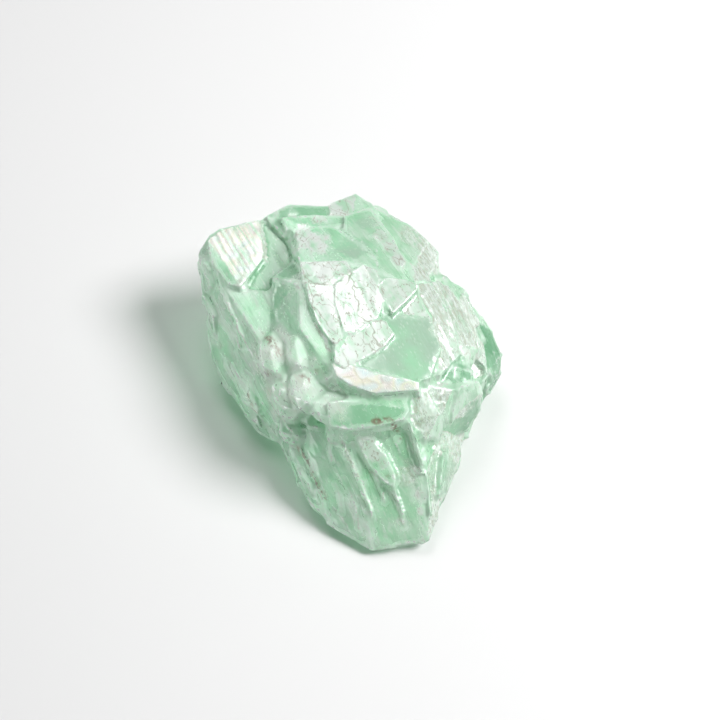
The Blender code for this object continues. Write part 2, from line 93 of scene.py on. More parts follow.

# Smaller patches, laid one after the other: finish, centre in millimetres, radius and strength
# Satin patches are partly painted sheen, and the darkest patches are painted shade.
PATCHES = [
    ("satin", (-1.7, 7.3, 7.7), 0.45, 1.0), ("satin", (-4.3, 8.0, 7.1), 0.5, 0.8),
    ("satin", (-3.2, 7.8, 7.4), 0.3, 0.8), ("satin", (-2.6, 6.3, 7.8), 0.7, 1.0),
    ("satin", (-2.1, 5.4, 8.3), 0.8, 1.0), ("satin", (-1.6, 4.7, 8.4), 0.7, 0.9),
    ("satin", (-2.5, 5.1, 7.7), 0.6, 0.8), ("satin", (1.3, 7.0, 7.9), 0.5, 0.7),
    ("satin", (1.8, 5.9, 8.1), 0.5, 0.8), ("satin", (2.3, 5.0, 8.1), 0.55, 0.9),
    ("satin", (2.9, 4.1, 8.2), 0.6, 1.0), ("frost", (3.6, 6.9, 7.0), 0.9, 0.6),
    ("frost", (4.4, 6.3, 6.6), 0.9, 0.8), ("frost", (4.7, 5.2, 6.5), 0.9, 0.8),
    ("frost", (4.6, -0.6, 8.0), 0.5, 0.3), ("satin", (5.8, -0.6, 7.1), 0.7, 0.8),
    ("satin", (6.4, -0.9, 6.2), 0.5, 0.8), ("satin", (7.0, -0.5, 5.0), 0.5, 0.8),
    ("satin", (6.2, 0.8, 6.6), 0.6, 0.6), ("satin", (4.4, -4.3, 6.2), 0.5, 0.6),
    ("deep", (5.9, -2.1, 6.1), 1.0, 0.9), ("deep", (6.8, -2.9, 3.2), 1.4, 0.9),
    ("deep", (8.0, 0.3, 2.6), 1.2, 0.8), ("deep", (6.0, -2.0, 6.0), 0.9, 0.9),
    ("deep", (8.2, 1.2, 3.9), 1.3, 0.9), ("deep", (7.9, -1.0, 2.9), 1.2, 0.8),
    ("satin", (-5.7, 3.9, 6.6), 0.6, 0.7), ("satin", (2.7, -8.0, 3.1), 0.25, 0.9),
    ("satin", (3.9, -7.7, 2.8), 0.35, 0.9), ("satin", (3.9, -8.3, 2.1), 0.25, 0.9),
    ("satin", (2.8, -8.8, 1.8), 0.25, 0.7), ("frost", (3.4, -7.0, 3.8), 0.7, 0.6),
    ("satin", (1.1, -6.0, 5.2), 0.45, 1.0), ("satin", (1.45, -6.4, 4.8), 0.45, 1.0),
    ("satin", (1.75, -6.8, 4.5), 0.35, 0.7), ("deep", (5.2, -6.0, 2.3), 1.6, 0.7),
    ("satin", (-2.8, 2.4, 8.2), 0.9, 0.5), ("window", (0.3, 4.6, 8.7), 0.9, 1.0),
    ("window", (0.9, 6.9, 8.0), 0.6, 0.8),
]

# The cloudy mounds at the left: centre in millimetres and radius
MOUNDS = [
    ((-3.5, -0.4, 5.5), 1.9), ((-2.9, -2.5, 4.9), 1.8), ((-2.6, -0.6, 6.0), 1.6), ((-1.6, -2.6, 5.9), 1.9),
    ((-0.5, -4.0, 5.9), 1.5),
]

# Narrow pits that are filled, because light would be lost in them: centre in millimetres and radius
PLUGS = [((5.25, 4.35, 5.8), 0.45)]

# Noises of the material, by name: scale in a millimetre, the same each way, and detail
PLAIN_NOISES = {"cloud": (0.5, 5.0), "glow": (0.8, 2.0), "blotch": (1.5, 4.0)}

# Noises that follow the grain: scale in a millimetre along it and across it, and detail
GRAIN_NOISES = {
    "drift": ((0.22, 0.8, 0.8), 4.0),
    "streak": ((0.25, 2.4, 0.5), 5.0),
    "fibre": ((0.6, 6.0, 1.2), 4.0),
    "speck": ((3.0, 6.0, 6.0), 2.0),
    "grit": ((2.2, 7.0, 4.0), 3.0),
    "wisp": ((0.9, 5.0, 3.0), 2.0),
    "thread": ((0.10, 2.4, 0.25), 3.0),
    "contour": ((0.7, 1.3, 1.3), 4.0),
    "rib": ((0.12, 6.0, 0.6), 2.0),
}

# How rough each part of the stone is, and how strong its glossy coat, laid one after the other
ROUGHNESS = {
    "window": 0.2, "milky": 0.3, "satin": 0.32, "pearl": 0.26, "frost": 0.28, "glint": 0.2, "crack": 0.6,
}
COAT = {
    "window": 0.05, "deep": 0.05, "milky": 0.2, "frost": 0.5, "satin": 0.8, "pearl": 0.9, "glint": 1.0,
    "crack": 0.0,
}

# Masks of what stands proud or lies low, which get painted glints and painted shade: rounds of smoothing, and
# the full height in millimetres
HEIGHT_MASKS = {"nick": (8, 0.02), "hollow": (120, 0.15)}

# The faint tints of the pearly sheets, each at its level of a slow noise
PEARL_TINTS = (
    (0.34, (0.76, 0.96, 0.96)), (0.42, (0.95, 1.0, 0.96)), (0.50, (1.0, 0.97, 0.76)),
    (0.57, (1.0, 0.92, 0.88)), (0.64, (0.92, 1.0, 0.95)),
)

# Soft boxes: the way each one lies from the stone, and its width in metres
SOFT_BOXES = {
    "key": ((0.65, -0.01, 0.75), 0.08),
    "back": ((-0.16, 0.41, 0.90), 0.09),
    "flank": ((0.74, 0.50, 0.36), 0.05),
}
LIGHT_DISTANCE = 0.17
FLOOR_SIZE = 1.2
FLOOR_GREY = 0.62
FLOOR_GLOW = (0.10, 0.35, 0.75)  # the distances in metres from which it starts and is full, and its strength

# Iron stains: points along each one in millimetres, its half-width and its strength
STAINS = {
    "tip_side": ([(-3.0, -3.7, 2.7), (-2.6, -5.0, 3.0), (-2.0, -6.0, 2.6), (-1.2, -7.3, 1.9)], 0.13, 0.8),
    "left_foot": ([(-5.5, -1.5, 3.1), (-5.1, -2.2, 2.6), (-4.6, -2.7, 1.8)], 0.13, 0.8),
    "mound_side": ([(-4.7, 0.4, 6.3), (-4.1, -0.4, 6.7), (-3.7, -1.1, 6.7)], 0.16, 0.8),
    "crevice": ([(1.3, -5.5, 6.6), (2.3, -5.3, 6.7), (2.5, -5.5, 6.0), (2.8, -5.6, 5.3)], 0.13, 0.95),
    "crest_foot": ([(-2.3, 2.6, 8.7), (-1.4, 2.3, 8.9), (-0.6, 2.4, 9.0)], 0.06, 0.5),
    "tip_step": ([(1.2, -6.9, 3.9), (2.0, -7.2, 4.1), (2.7, -7.1, 3.8)], 0.09, 0.5),
    "wall_speck": ([(-7.3, 2.0, 3.5), (-7.2, 1.7, 3.4)], 0.12, 0.7),
    "slab_speck": ([(-6.0, 0.6, 4.9), (-5.9, 0.5, 4.9)], 0.10, 0.6),
    "scoop_speck": ([(-2.9, 5.9, 7.0), (-2.9, 5.8, 7.0)], 0.09, 0.9),
    "mound_speck_a": ([(-4.3, -1.9, 5.9), (-4.2, -1.9, 5.9)], 0.12, 0.9),
    "mound_speck_b": ([(-1.6, -2.6, 7.2), (-1.7, -2.7, 7.2)], 0.13, 0.9),
    "mound_speck_c": ([(-2.5, -2.6, 6.7), (-2.0, -3.1, 6.9)], 0.10, 0.9),
    "tip_speck": ([(4.0, -9.4, 0.9), (4.0, -9.4, 0.8)], 0.10, 0.9),
}


class CrystalSizes(bpy.types.PropertyGroup):
    """Sizes of the stone's fine surface, in millimetres."""

    voxel: bpy.props.FloatProperty(
        name="Voxel", description="Grid of the fine mesh, in mm", default=0.08, min=0.03)
    gap: bpy.props.FloatProperty(
        name="Gap", description="Half-width of the gaps that are closed", default=0.18)
    triangles: bpy.props.IntProperty(
        name="Triangles", description="Most triangles of the mesh", default=190000)
    warp: bpy.props.FloatProperty(
        name="Edge Warp", description="How far finishes wander, in mm", default=0.16)
    swell: bpy.props.FloatProperty(
        name="Swell", description="Height of the slow undulation, in mm", default=0.16)
    terrace: bpy.props.FloatProperty(
        name="Terraces", description="Height of the cleavage terraces", default=0.22)
    plate: bpy.props.FloatProperty(
        name="Plates", description="Tilt of the cleavage plates", default=0.18)
    chip: bpy.props.FloatProperty(name="Chips", description="Tilt of the small chips", default=0.05)
    splinter: bpy.props.FloatProperty(
        name="Splinters", description="Depth of the long steps", default=0.09)
    striation: bpy.props.FloatProperty(
        name="Striation", description="Depth of the fine lines", default=0.05)
    lean: bpy.props.FloatProperty(
        name="Lean", description="Share by which the soft shading leans up", default=0.6)


class CrystalColours(bpy.types.PropertyGroup):
    """Colours and optical values of the stone."""

    mint: bpy.props.FloatVectorProperty(
        name="Mint", description="Colour of the clear stone", subtype="COLOR", size=3,
        default=(0.60, 0.97, 0.70))
    moss: bpy.props.FloatVectorProperty(
        name="Moss", description="Its darker parts", subtype="COLOR", size=3, default=(0.40, 0.84, 0.51))
    # Silk is the sheets' own pearly white, and also painted sheen on them and painted glints.
    pearly_white_sheen_and_glints: bpy.props.FloatVectorProperty(
        name="Silk", description="Cleavage sheets", subtype="COLOR", size=3, default=(0.91, 1.0, 0.93))
    # Sheet is the greyer white painted on the sheets towards the right, where the key light falls.
    sheet: bpy.props.FloatVectorProperty(
        name="Sheet", description="Sheets at the right", subtype="COLOR", size=3, default=(0.79, 0.90, 0.81))
    # Gloom is the darker tone of blotches, fibres and threads, and also painted shade in the hollows and on
    # the dark facets.
    gloom: bpy.props.FloatVectorProperty(
        name="Gloom", description="Hollows and the dark facets", subtype="COLOR", size=3,
        default=(0.30, 0.62, 0.38))
    # Shade is painted shade for the dark facets at the right.
    shade: bpy.props.FloatVectorProperty(
        name="Shade", description="Dark facets at the right", subtype="COLOR", size=3,
        default=(0.17, 0.44, 0.24))
    milk: bpy.props.FloatVectorProperty(
        name="Milk", description="Cloudy mounds", subtype="COLOR", size=3, default=(0.82, 0.95, 0.83))
    dust: bpy.props.FloatVectorProperty(
        name="Dust", description="Brownish haze on the mounds", subtype="COLOR", size=3,
        default=(0.56, 0.61, 0.49))
    frost: bpy.props.FloatVectorProperty(
        name="Frost", description="Splintered flanks", subtype="COLOR", size=3, default=(0.68, 0.82, 0.70))
    # Haze is painted shade that greys the right half, where the key light falls.
    haze: bpy.props.FloatVectorProperty(
        name="Haze", description="Greyer stone in the right half", subtype="COLOR", size=3,
        default=(0.50, 0.56, 0.46))
    pane: bpy.props.FloatVectorProperty(
        name="Pane", description="Clear fresh facets", subtype="COLOR", size=3, default=(0.46, 0.67, 0.51))
    # Pale is also painted light along the ridges, as if shining through the thin edges.
    pale: bpy.props.FloatVectorProperty(
        name="Pale", description="Wisps in the clear stone", subtype="COLOR", size=3,
        default=(0.79, 0.98, 0.84))
    # Seam is the colour of thin cracks, and also of painted shade in the creases and closed gaps.
    seam: bpy.props.FloatVectorProperty(
        name="Seam", description="Thin cracks", subtype="COLOR", size=3, default=(0.30, 0.28, 0.20))
    stain: bpy.props.FloatVectorProperty(
        name="Stain", description="Iron stain", subtype="COLOR", size=3, default=(0.20, 0.14, 0.08))
    depth: bpy.props.FloatVectorProperty(
        name="Depth", description="Colour that thick stone takes on", subtype="COLOR", size=3,
        default=(0.22, 0.80, 0.50))
    through: bpy.props.FloatVectorProperty(
        name="Through", description="Tint of the light that shines through", subtype="COLOR", size=3,
        default=(0.62, 0.98, 0.74))
    soak: bpy.props.FloatProperty(
        name="Soak", description="Share of the light that each face lets through to what it shades",
        default=0.32)
    density: bpy.props.FloatProperty(
        name="Density", description="Absorption for each metre", default=70.0)
    transmission: bpy.props.FloatProperty(
        name="Transmission", description="Share of light let in", default=0.46)
    ior: bpy.props.FloatProperty(name="IOR", description="Refractive index of the mineral", default=1.6)
    pearl_ior: bpy.props.FloatProperty(
        name="Pearl IOR", description="Strength of the pearly lustre", default=2.2)


class StageSettings(bpy.types.PropertyGroup):
    """The camera, the floor and the lights."""

    lens: bpy.props.FloatProperty(name="Lens", description="Focal length, in mm", default=85.0)
    distance: bpy.props.FloatProperty(
        name="Distance", description="Camera distance", subtype="DISTANCE", default=0.0935)
    elevation: bpy.props.FloatProperty(
        name="Elevation", description="Camera angle above the floor", subtype="ANGLE",
        default=math.radians(55))
    aim: bpy.props.FloatVectorProperty(
        name="Aim", description="Point the camera looks at", subtype="TRANSLATION", size=3,
        default=(0.00064, -0.00031, 0.00488))
    key_power: bpy.props.FloatProperty(
        name="Key Power", description="Power of the key light", subtype="POWER", default=0.44)
    back_power: bpy.props.FloatProperty(
        name="Back Power", description="Power of the light behind", subtype="POWER", default=0.12)
    flank_power: bpy.props.FloatProperty(
        name="Flank Power", description="Power of the low light at the right", subtype="POWER", default=0.008)
    walls: bpy.props.FloatProperty(
        name="Walls", description="Strength of the white wall at the left", default=8.8)
    ceiling: bpy.props.FloatProperty(
        name="Ceiling", description="Strength of the rest of the room", default=0.09)


def add_node(tree, kind, inputs=None, **settings):
    """Adds a node with its settings; a socket among its inputs is linked and any other value is set."""
    made = tree.nodes.new(kind)
    for name, value in settings.items():
        setattr(made, name, value)
    for key, value in (inputs or {}).items():
        if isinstance(value, bpy.types.NodeSocket):
            tree.links.new(value, made.inputs[key])
        else:
            made.inputs[key].default_value = value
    return made


def math_node(tree, operation, a, b=0.0):
    return add_node(tree, "ShaderNodeMath", {0: a, 1: b}, operation=operation).outputs[0]


def vector_node(tree, operation, a, b):
    made = add_node(tree, "ShaderNodeVectorMath", operation=operation)
    for key, value in ((0, a), (3 if operation == "SCALE" else 1, b)):
        if isinstance(value, bpy.types.NodeSocket):
            tree.links.new(value, made.inputs[key])
        else:
            made.inputs[key].default_value = value
    return made.outputs["Value" if operation == "DOT_PRODUCT" else "Vector"]


def noise_node(tree, place, scale, detail, output="Fac"):
    made = add_node(tree, "ShaderNodeTexNoise", {"Vector": place, "Scale": scale, "Detail": detail})
    return made.outputs[output]


def along_grain(tree, place):
    """Turns a place into the grain's own axes: X runs along it, and Y and Z across it."""
    side = GRAIN.cross(Vector((0, 0, 1))).normalized()
    turn = Matrix((GRAIN, side, GRAIN.cross(side))).to_euler()
    made = add_node(
        tree, "ShaderNodeVectorRotate", {"Vector": place, "Rotation": turn}, rotation_type="EULER_XYZ")
    return made.outputs[0]


def slow_swell(tree, cells):
    return math_node(tree, "SUBTRACT", noise_node(tree, cells, 1.0, 3.0), 0.5)


def terraces(tree, cells):
    """Flat levels with wavy outlines, like the steps of a cleaved face."""
    levels = 16.0
    height = math_node(tree, "MULTIPLY", noise_node(tree, cells, 1.0, 3.0), levels)
    level = math_node(tree, "DIVIDE", math_node(tree, "FLOOR", height), levels)
    return math_node(tree, "SUBTRACT", level, 0.5)


def tilted_plates(tree, cells):
    """A mosaic of cells, each tilted its own way."""
    mosaic = add_node(tree, "ShaderNodeTexVoronoi", {"Vector": cells, "Scale": 1.0}).outputs
    away = vector_node(tree, "SUBTRACT", cells, mosaic["Position"])
    tilt = vector_node(tree, "SUBTRACT", mosaic["Color"], (0.5, 0.5, 0.5))
    return vector_node(tree, "DOT_PRODUCT", away, tilt)


def long_steps(tree, cells):
    """Saw teeth across the grain, so that splinters overlap like shingles."""
    apart = add_node(tree, "ShaderNodeSeparateXYZ", {0: cells}).outputs
    ragged = math_node(tree, "MULTIPLY", noise_node(tree, cells, 0.6, 1.0), 1.6)
    phase = math_node(tree, "ADD", math_node(tree, "ADD", apart["Y"], apart["Z"]), ragged)
    step = math_node(tree, "SUBTRACT", math_node(tree, "FRACT", phase), 0.5)
    patchy = noise_node(tree, vector_node(tree, "SCALE", cells, 0.4), 1.0, 2.0)
    patchy = add_node(tree, "ShaderNodeMapRange", {"Value": patchy, 1: 0.38, 2: 0.6}).outputs[0]
    return math_node(tree, "MULTIPLY", step, patchy)


def relief_group(name, lift_from):
    """A geometry group that lifts the surface along its normals by one of the reliefs above."""
    tree = bpy.data.node_groups.new(name, "GeometryNodeTree")
    tree.is_modifier = True
    for title, kind in (
            ("Geometry", "Geometry"), ("Mask", "String"), ("Cells", "Vector"), ("Height", "Float"),
            ("Warp", "Float")):
        tree.interface.new_socket(title, in_out="INPUT", socket_type="NodeSocket" + kind)
    tree.interface.new_socket("Geometry", in_out="OUTPUT", socket_type="NodeSocketGeometry")
    given = add_node(tree, "NodeGroupInput").outputs
    place = along_grain(tree, add_node(tree, "GeometryNodeInputPosition").outputs[0])
    wander = vector_node(tree, "SUBTRACT", noise_node(tree, place, 0.45, 3.0, "Color"), (0.5, 0.5, 0.5))
    place = vector_node(tree, "ADD", place, vector_node(tree, "SCALE", wander, given["Warp"]))
    lift = lift_from(tree, vector_node(tree, "MULTIPLY", place, given["Cells"]))
    mask = add_node(tree, "GeometryNodeInputNamedAttribute", {"Name": given["Mask"]}, data_type="FLOAT")
    lift = math_node(tree, "MULTIPLY", lift, mask.outputs[0])
    lift = math_node(tree, "MULTIPLY", lift, given["Height"])
    normal = add_node(tree, "GeometryNodeInputNormal").outputs[0]
    offset = vector_node(tree, "SCALE", normal, lift)
    moved = add_node(tree, "GeometryNodeSetPosition", {"Geometry": given["Geometry"], "Offset": offset})
    add_node(tree, "NodeGroupOutput", {0: moved.outputs[0]})
    return tree


def add_relief(obj, tree, name, **values):
    """Puts a relief group on the object as a modifier with its own values, and applies it."""
    modifier = obj.modifiers.new(name, "NODES")
    modifier.node_group = tree
    for item in tree.interface.items_tree:
        key = item.name.lower()
        if item.in_out == "INPUT" and key in values:
            modifier[item.identifier] = values[key]
    obj.update_tag()
    apply_modifier(obj, modifier)


def apply_modifier(obj, modifier):
    bpy.context.view_layer.objects.active = obj
    result = bpy.ops.object.modifier_apply(modifier=modifier.name)
    if "FINISHED" not in result:
        raise RuntimeError(f"modifier {modifier.name} wasn't applied")


def distance_tree(edges):
    """A tree of points along the edges, for the distance to the nearest one."""
    spacing = 0.06
    points = []
    for edge in edges:
        steps = max(1, int(edge.calc_length() / spacing))
        points += [edge.verts[0].co.lerp(edge.verts[1].co, step / steps) for step in range(steps + 1)]
    tree = KDTree(len(points))
    for index, point in enumerate(points):
        tree.insert(point, index)
    tree.balance()
    return tree


class Facets:
    """The solid's flat facets: which one a point lies on, and how far it is from a ridge or a crease."""

    def __init__(self, mesh):
        self.bm = bmesh.new()
        self.bm.from_mesh(mesh)
        self.bm.faces.ensure_lookup_table()
        self.bm.normal_update()
        self.number = [-1] * len(self.bm.faces)
        self.normals = []
        for start in self.bm.faces:
            if self.number[start.index] < 0:
                self.gather(start, len(self.normals))
        self.tree = BVHTree.FromBMesh(self.bm)
        sharp = [edge for edge in self.bm.edges if edge.is_manifold and edge.calc_face_angle() > SHARP_EDGE]
        self.ridges = distance_tree([edge for edge in sharp if edge.is_convex])
        self.creases = distance_tree([edge for edge in sharp if not edge.is_convex])

    def gather(self, start, number):
        """Gives one number to a face and all that continue it, and keeps the facet's mean normal."""
        self.number[start.index] = number
        queue = [start]
        for face in queue:
            for edge in face.edges:
                for other in edge.link_faces:
                    if self.number[other.index] < 0 and face.normal.angle(other.normal, 0) < SAME_FACET:
                        self.number[other.index] = number
                        queue.append(other)
        total = sum((face.normal * face.calc_area() for face in queue), Vector())
        self.normals.append(total.normalized())

    def at(self, point):
        return self.number[self.tree.find_nearest(point)[2]]

    def under(self, x, y):
        hit = self.tree.ray_cast(Vector((x, y, SKY_HEIGHT)), Vector((0, 0, -1)))
        if hit[2] is None:
            raise RuntimeError(f"no facet under {x}, {y}")
        return self.number[hit[2]]

    def finishes(self):
        """The finish of each facet: the ones picked by place, and chance for those the photo doesn't show."""
        finish_of = {}
        rng = random.Random(HIDDEN_SEED)
        names, weights = zip(*HIDDEN_FINISHES)
        for number, normal in enumerate(self.normals):
            chosen = rng.choices(names, weights)[0]
            if normal.dot(TOWARDS_VIEWER) < HIDDEN_SLOPE:
                finish_of[number] = chosen
        for name, places in FACET_FINISHES.items():
            for x, y in places:
                finish_of[self.under(x, y)] = name
        return finish_of


def smooth_step(values, low, high):
    t = np.clip((values - low) / (high - low), 0, 1)
    return t * t * (3 - 2 * t)


def distance_to_line(points, line):
    """Each point's distance to the nearest stretch of a line through several places."""
    nearest = np.full(len(points), np.inf)
    for start, end in zip(line, line[1:]):
        start, run = np.array(start), np.array(end) - np.array(start)
        t = np.clip((points - start) @ run / (run @ run), 0, 1)
        nearest = np.minimum(nearest, np.linalg.norm(points - start - t[:, None] * run, axis=1))
    return nearest


def mark_facets(mesh, facets, warp, masks):
    """Marks each vertex with its facet's finish and its distances, and returns a noise for ragged rims."""
    finish_of = facets.finishes()
    ragged = np.zeros(len(mesh.vertices))
    for index, vert in enumerate(mesh.vertices):
        wander = noise.noise_vector(vert.co * 1.6) * warp + noise.noise_vector(vert.co * 5) * warp * 0.4
        name = finish_of.get(facets.at(vert.co + wander))
        if name:
            masks[name][index] = 1
        masks["filled"][index] = facets.tree.find_nearest(vert.co)[3]
        masks["ridge"][index] = facets.ridges.find(vert.co + wander * 0.3)[2]
        masks["crease"][index] = facets.creases.find(vert.co + wander * 0.3)[2]
        ragged[index] = noise.fractal(vert.co * 2.2, 0.8, 2.0, 3)
    return ragged


def in_radii(points, centre, radius):
    """Each point's distance to a centre, in radii."""
    return np.linalg.norm(points - np.array(centre), axis=1) / radius


def lay_spots(points, ragged, masks):
    """Lays the patches, which take the place of other finishes, and then the mounds and the stains."""
    for name, centre, radius, strength in PATCHES:
        patch = strength * (1 - smooth_step(in_radii(points, centre, radius) + 0.45 * ragged, 0.6, 1.2))
        for other in FINISH_NAMES:
            masks[other] = masks[other] * (1 - patch)
        masks[name] += patch
    for centre, radius in MOUNDS:
        mound = 1 - smooth_step(in_radii(points, centre, radius) + 0.15 * ragged, 0.7, 1.1)
        masks["milky"] = np.maximum(masks["milky"], mound)
    for line, width, strength in STAINS.values():
        away = distance_to_line(points, line) / width + 0.9 * ragged
        masks["stain"] = np.maximum(masks["stain"], strength * (1 - smooth_step(away, 0.4, 1.5)))


def relief_masks(points, normals, masks):
    """How strongly each relief shows: little on windows and mounds, and not at all on the resting face."""
    satin, pearl, ribbed, frost, window, deep, milky = (masks[name] for name in (*FINISH_NAMES, "milky"))
    steep = 1 - smooth_step(normals[:, 2], 0.55, 0.9)
    clear_of_floor = smooth_step(points[:, 2], 0.1, 0.7)
    rough_part = (1 - 0.85 * window) * (1 - 0.7 * deep) * (1 - 0.8 * milky) * clear_of_floor
    bare = np.clip(1 - satin - pearl - ribbed - frost, 0, 1)
    return {
        "slow": clear_of_floor * (1 - 0.8 * window),
        "terraced": (0.3 + 0.6 * satin) * (1 - 0.8 * steep) * rough_part,
        "plated": (0.1 + 0.9 * frost) * rough_part,
        "splintered": (0.1 + 0.4 * bare + 0.7 * frost) * rough_part,
        "striated": (0.2 + 0.8 * ribbed + 0.3 * frost) * rough_part,
        "chipped": (0.1 + 0.7 * frost) * rough_part,
    }


def paint_masks(mesh, facets, warp):
    """Stores each finish, stain and relief mask as an attribute of the fine mesh."""
    masks = {name: np.zeros(len(mesh.vertices)) for name in (*FINISH_NAMES, *OTHER_MASKS)}
    ragged = mark_facets(mesh, facets, warp, masks)
    points = np.array([vert.co for vert in mesh.vertices])
    normals = np.array([vert.normal for vert in mesh.vertices])
    lay_spots(points, ragged, masks)
    masks.update(relief_masks(points, normals, masks))
    for name, numbers in masks.items():
        layer = mesh.attributes.new(name, "FLOAT", "POINT")
        layer.data.foreach_set("value", numbers.astype(np.float32))


def paint_height(mesh, name, rounds, height):
    """Stores how far each vertex stands above the smoothed surface around it, in full heights."""
    points = np.empty(len(mesh.vertices) * 3, np.float32)
    mesh.vertices.foreach_get("co", points)
    points = points.reshape(-1, 3).astype(float)
    normals = np.array([vert.normal for vert in mesh.vertices])
    ends = np.empty(len(mesh.edges) * 2, np.int32)
    mesh.edges.foreach_get("vertices", ends)
    start, end = ends.reshape(-1, 2).T
    neighbours = np.bincount(start, minlength=len(points)) + np.bincount(end, minlength=len(points))
    smooth = points.copy()
    for _ in range(rounds):
        for axis in range(3):
            total = np.bincount(start, smooth[end, axis], len(points))
            total += np.bincount(end, smooth[start, axis], len(points))
            smooth[:, axis] = total / np.maximum(neighbours, 1)
    above = np.sum((points - smooth) * normals, axis=1) / height
    layer = mesh.attributes.new(name, "FLOAT", "POINT")
    layer.data.foreach_set("value", np.clip(above, -1, 1).astype(np.float32))


def paint_soft_normals(mesh, lean):
    """Stores normals that lean upwards on the top faces, for the soft shading of clear stone."""
    layer = mesh.attributes.new("soft_normal", "FLOAT_VECTOR", "POINT")
    shares = lean * smooth_step(np.array([vert.normal.z for vert in mesh.vertices]), 0.45, 0.8)
    for vert, item, share in zip(mesh.vertices, layer.data, shares):
        item.vector = vert.normal.lerp(Vector((0, 0, 1)), share).normalized()


class OBJECT_OT_mint_crystal(bpy.types.Operator):
    """Makes the stone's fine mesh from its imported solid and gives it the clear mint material"""

    bl_idname = "object.mint_crystal"
    bl_label = "Mint Crystal"

    def execute(self, context):
        sizes = context.scene.crystal_sizes
        stone = self.solid_copy()
        facets = Facets(stone.data)
        self.remesh(stone, sizes)
        self.settle(stone, facets)
        paint_masks(stone.data, facets, sizes.warp)
        self.break_up(stone, sizes)
        self.thin_out(stone, sizes.triangles)
        self.rest_on_floor(stone)
        for name, (rounds, height) in HEIGHT_MASKS.items():
            paint_height(stone.data, name, rounds, height)
        stone.data.transform(Matrix.Scale(MM, 4))
        stone.data.shade_smooth()
        paint_soft_normals(stone.data, sizes.lean)
        stone.data.materials.clear()
        stone.data.materials.append(crystal_material(context.scene.crystal_colours))
        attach(stone, "root")
        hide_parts(NODE)
        return {"FINISHED"}

    def solid_copy(self):
        """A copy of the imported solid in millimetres, with its loose triangles joined up."""
        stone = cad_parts[NODE].copy()
        stone.data = stone.data.copy()
        for key in list(stone.keys()):
            del stone[key]
        stone.parent = None
        stone.name = stone.data.name = "mint_crystal"
        bpy.context.scene.collection.objects.link(stone)
        stone.data.transform(Matrix.Scale(1 / MM, 4))
        bpy.ops.object.select_all(action="DESELECT")
        stone.select_set(True)
        bpy.context.view_layer.objects.active = stone
        bpy.ops.object.mode_set(mode="EDIT")
        bpy.ops.mesh.select_all(action="SELECT")
        bpy.ops.mesh.remove_doubles(threshold=0.0005)
        bpy.ops.object.mode_set(mode="OBJECT")
        return stone

    def remesh(self, stone, sizes):
        """Makes the fine mesh, and closes the thin gaps between the sheets by growing and shrinking it."""
        self.plug(stone)
        for grow in (0, sizes.gap):
            if grow:
                self.swell_by(stone, grow)
            remesh = stone.modifiers.new("fine_grid", "REMESH")
            remesh.mode = "VOXEL"
            remesh.voxel_size = sizes.voxel
            apply_modifier(stone, remesh)
        self.swell_by(stone, -sizes.gap)
        self.soften(stone, factor=0.5, times=4)

    def plug(self, stone):
        """Fills the narrow pits."""
        bpy.ops.object.mode_set(mode="EDIT")
        for centre, radius in PLUGS:
            bpy.ops.mesh.primitive_ico_sphere_add(subdivisions=3, radius=radius, location=centre)
        bpy.ops.object.mode_set(mode="OBJECT")

    def settle(self, stone, facets):
        """Puts the fine mesh back onto the solid's flat facets, apart from what bridges a closed gap."""
        bridge_height, same_way = 0.1, 0.8
        normals = [vert.normal.copy() for vert in stone.data.vertices]
        for vert, own_normal in zip(stone.data.vertices, normals):
            place, normal, _, away = facets.tree.find_nearest(vert.co)
            if away < bridge_height and normal.dot(own_normal) > same_way:
                vert.co = place

    def swell_by(self, stone, distance):
        swell = stone.modifiers.new("swell", "DISPLACE")
        swell.strength = distance
        swell.mid_level = 0
        apply_modifier(stone, swell)

    def soften(self, stone, factor, times):
        smooth = stone.modifiers.new("soften", "SMOOTH")
        smooth.factor = factor
        smooth.iterations = times
        apply_modifier(stone, smooth)

    def break_up(self, stone, sizes):
        """Lays the reliefs over each other, from the slow swell to the small chips."""
        swell = relief_group("slow_swell", slow_swell)
        steps = relief_group("terraces", terraces)
        plates = relief_group("tilted_plates", tilted_plates)
        splinters = relief_group("long_steps", long_steps)
        for name, tree, mask, cells, height, warp in (
                ("swell", swell, "slow", (0.3, 0.5, 0.5), sizes.swell, 0.0),
                ("steps", steps, "terraced", (0.25, 0.7, 0.7), sizes.terrace, 0.6),
                ("plates", plates, "plated", (0.2, 1.1, 0.6), sizes.plate, 0.8),
                ("splinters", splinters, "splintered", (0.1, 0.9, 0.25), sizes.splinter, 1.0),
                ("striation", splinters, "striated", (0.1, 2.8, 0.8), sizes.striation, 0.5),
                ("chips", plates, "chipped", (1.6, 3.4, 3.4), sizes.chip, 0.3)):
            add_relief(stone, tree, name, mask=mask, cells=cells, height=height, warp=warp)
        self.soften(stone, factor=0.3, times=1)

    def thin_out(self, stone, most):
        triangles = sum(len(face.vertices) - 2 for face in stone.data.polygons)
        if triangles > most:
            thin = stone.modifiers.new("thin", "DECIMATE")
            thin.ratio = most / triangles
            apply_modifier(stone, thin)

    def rest_on_floor(self, stone):
        """Keeps the resting face level at Z = 0 and nothing below it."""
        for vert in stone.data.vertices:
            vert.co.z = max(vert.co.z, 0)


